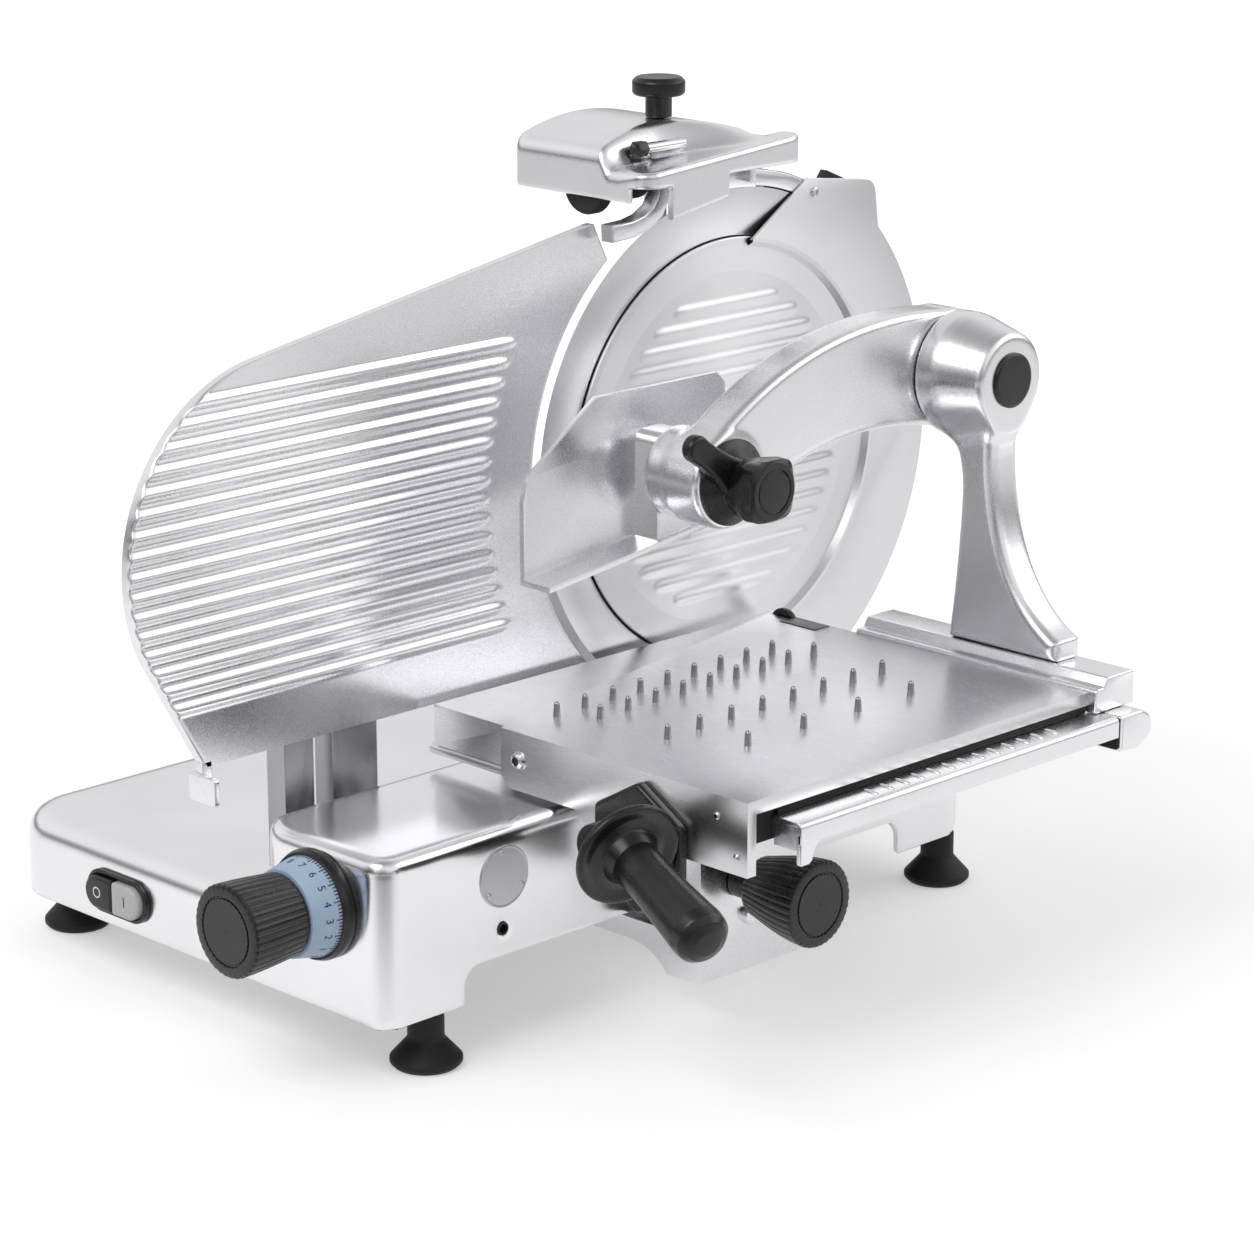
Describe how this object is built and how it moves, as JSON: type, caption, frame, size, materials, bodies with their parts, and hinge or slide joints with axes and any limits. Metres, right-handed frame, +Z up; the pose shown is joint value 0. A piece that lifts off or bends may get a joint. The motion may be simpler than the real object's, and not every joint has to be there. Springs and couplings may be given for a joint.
{
  "type": "food slicer",
  "caption": "Electric food slicer with a vertical circular knife, ribbed gauge plate set by a dial, sliding meat table with spikes, swinging press arm and a lift-off sharpener.",
  "frame": {"origin": "middle of the footprint's bounding box, on the worktop under the rubber feet", "axes": "+Z up, +Y from the operator's side with the dial towards the back, +X from the gauge plate and motor towards the meat table"},
  "size_m": [0.6079, 0.74, 0.5835],
  "materials": {
    "satin_aluminium": "satin anodised",
    "cast_aluminium": "bead blasted",
    "stainless_steel": "brushed",
    "ground_steel": "ground",
    "knife_steel": "polished",
    "black_plastic": "fine grain",
    "black_rubber": "matte",
    "grey_plastic": "smooth",
    "scale_plastic": "matte",
    "bronze": "machined",
    "grey_iron": "machined",
    "abrasive_stone": "gritty",
    "plate_aluminium": "bare"
  },
  "bodies": {
    "base": {"base_housing": "satin_aluminium", "bottom_cover": "cast_aluminium", "rubber_feet": "black_rubber", "switch_bezel": "black_plastic", "switch_block": "black_plastic", "dial_bezel": "black_plastic", "gauge_bushes": "bronze", "rating_plate": "plate_aluminium", "cable_gland": "black_plastic", "knife_bearings": "ground_steel", "drive_belt": "black_rubber", "knife_housing": "cast_aluminium", "belt_cover": "cast_aluminium", "knife_cover": "satin_aluminium", "cover_tie_rod": "ground_steel", "motor_body": "grey_iron", "motor_cover": "cast_aluminium", "guide_rod": "ground_steel", "sharpener_post": "ground_steel"},
    "knife": {"knife": "knife_steel", "knife_flange": "grey_iron", "knife_screws": "stainless_steel", "knife_shaft": "ground_steel", "knife_pulley": "grey_iron"},
    "rotor": {"motor_shaft": "ground_steel", "motor_pulley": "grey_iron"},
    "dial": {"dial_knob": "black_plastic", "dial_scale": "scale_plastic", "dial_shaft": "ground_steel", "thickness_cam": "grey_iron"},
    "gauge": {"gauge_plate": "satin_aluminium", "gauge_carrier": "cast_aluminium", "gauge_rods": "ground_steel", "cam_follower": "bronze"},
    "carriage": {"carriage_support": "satin_aluminium", "guide_bushes": "bronze", "feed_bushes": "bronze"},
    "lock": {"lock_knob": "black_plastic"},
    "table": {"meat_table": "stainless_steel", "table_spikes": "stainless_steel", "feed_rods": "ground_steel", "stop_rod": "stainless_steel", "apron_screw": "stainless_steel", "handle_plate": "black_plastic", "handle_grip": "black_plastic", "table_rail": "satin_aluminium", "press_column": "satin_aluminium", "column_cap": "black_plastic", "grip_bar": "satin_aluminium", "grip_bar_cap": "satin_aluminium"},
    "arm": {"press_arm": "satin_aluminium"},
    "press": {"press_plate": "satin_aluminium"},
    "clamp": {"clamp_knob": "black_plastic"},
    "sharpener": {"sharpener_housing": "satin_aluminium", "sharpening_stones": "abrasive_stone"},
    "sharpener_lock": {"sharpener_knob": "black_plastic"},
    "stone_pin": {"stone_push_pin": "ground_steel"},
    "on": {"on_button": "grey_plastic"},
    "off": {"off_button": "black_plastic"},
    "cover_lock": {"cover_knob": "black_plastic"}
  },
  "joints": [
    {"name": "knife_spin", "type": "hinge", "parent": "base", "child": "knife", "pos_m": [-0.03125, 0.163, 0.32], "axis": [1, 0, 0], "continuous": true},
    {"name": "motor_spin", "type": "hinge", "parent": "base", "child": "rotor", "pos_m": [-0.13125, 0.183, 0.158], "axis": [1, 0, 0], "continuous": true},
    {"name": "dial_turn", "type": "hinge", "parent": "base", "child": "dial", "pos_m": [0.04075, -0.297, 0.1105], "axis": [0, -1, 0], "range_deg": [0, 300]},
    {"name": "gauge_slide", "type": "slide", "parent": "base", "child": "gauge", "axis": [-1, 0, 0], "range_m": [0, 0.016]},
    {"name": "carriage_slide", "type": "slide", "parent": "base", "child": "carriage", "axis": [0, 1, 0], "range_m": [-0.14, 0.15]},
    {"name": "lock_knob_turn", "type": "hinge", "parent": "carriage", "child": "lock", "pos_m": [0.17875, -0.027, 0.0924], "axis": [1, 0, 0], "range_deg": [0, 180]},
    {"name": "table_feed", "type": "slide", "parent": "carriage", "child": "table", "axis": [1, 0, 0], "range_m": [0, 0.115]},
    {"name": "press_swing", "type": "hinge", "parent": "table", "child": "arm", "pos_m": [0.11875, 0.23, 0.389], "axis": [-1, 0, 0], "range_deg": [-8, 65]},
    {"name": "press_tilt", "type": "hinge", "parent": "arm", "child": "press", "pos_m": [0.08875, 0.008, 0.347], "axis": [-1, 0, 0], "range_deg": [-10, 10]},
    {"name": "clamp_turn", "type": "hinge", "parent": "press", "child": "clamp", "pos_m": [0.13375, 0.008, 0.347], "axis": [1, 0, 0], "range_deg": [0, 120]},
    {"name": "sharpener_lift", "type": "slide", "parent": "base", "child": "sharpener", "axis": [0, 0, 1], "range_m": [0, 0.03]},
    {"name": "sharpener_knob_turn", "type": "hinge", "parent": "sharpener", "child": "sharpener_lock", "pos_m": [-0.06425, 0.125, 0.56], "axis": [0, 0, 1], "range_deg": [0, 180]},
    {"name": "stone_push", "type": "slide", "parent": "sharpener", "child": "stone_pin", "axis": [0, 1, 0], "range_m": [0, 0.004], "stiffness_N_per_m": 400},
    {"name": "on_press", "type": "slide", "parent": "base", "child": "on", "axis": [0, 1, 0], "range_m": [0, 0.003], "stiffness_N_per_m": 400},
    {"name": "off_press", "type": "slide", "parent": "base", "child": "off", "axis": [0, 1, 0], "range_m": [0, 0.003], "stiffness_N_per_m": 400},
    {"name": "cover_knob_turn", "type": "hinge", "parent": "base", "child": "cover_lock", "pos_m": [-0.14125, 0.163, 0.32], "axis": [1, 0, 0], "range_deg": [0, 180]}
  ],
  "couplings": [
    {"joint": "motor_spin", "follows": "knife_spin", "ratio": 2.25},
    {"joint": "gauge_slide", "follows": "dial_turn", "m_per_rad": 0.0030557}
  ]
}
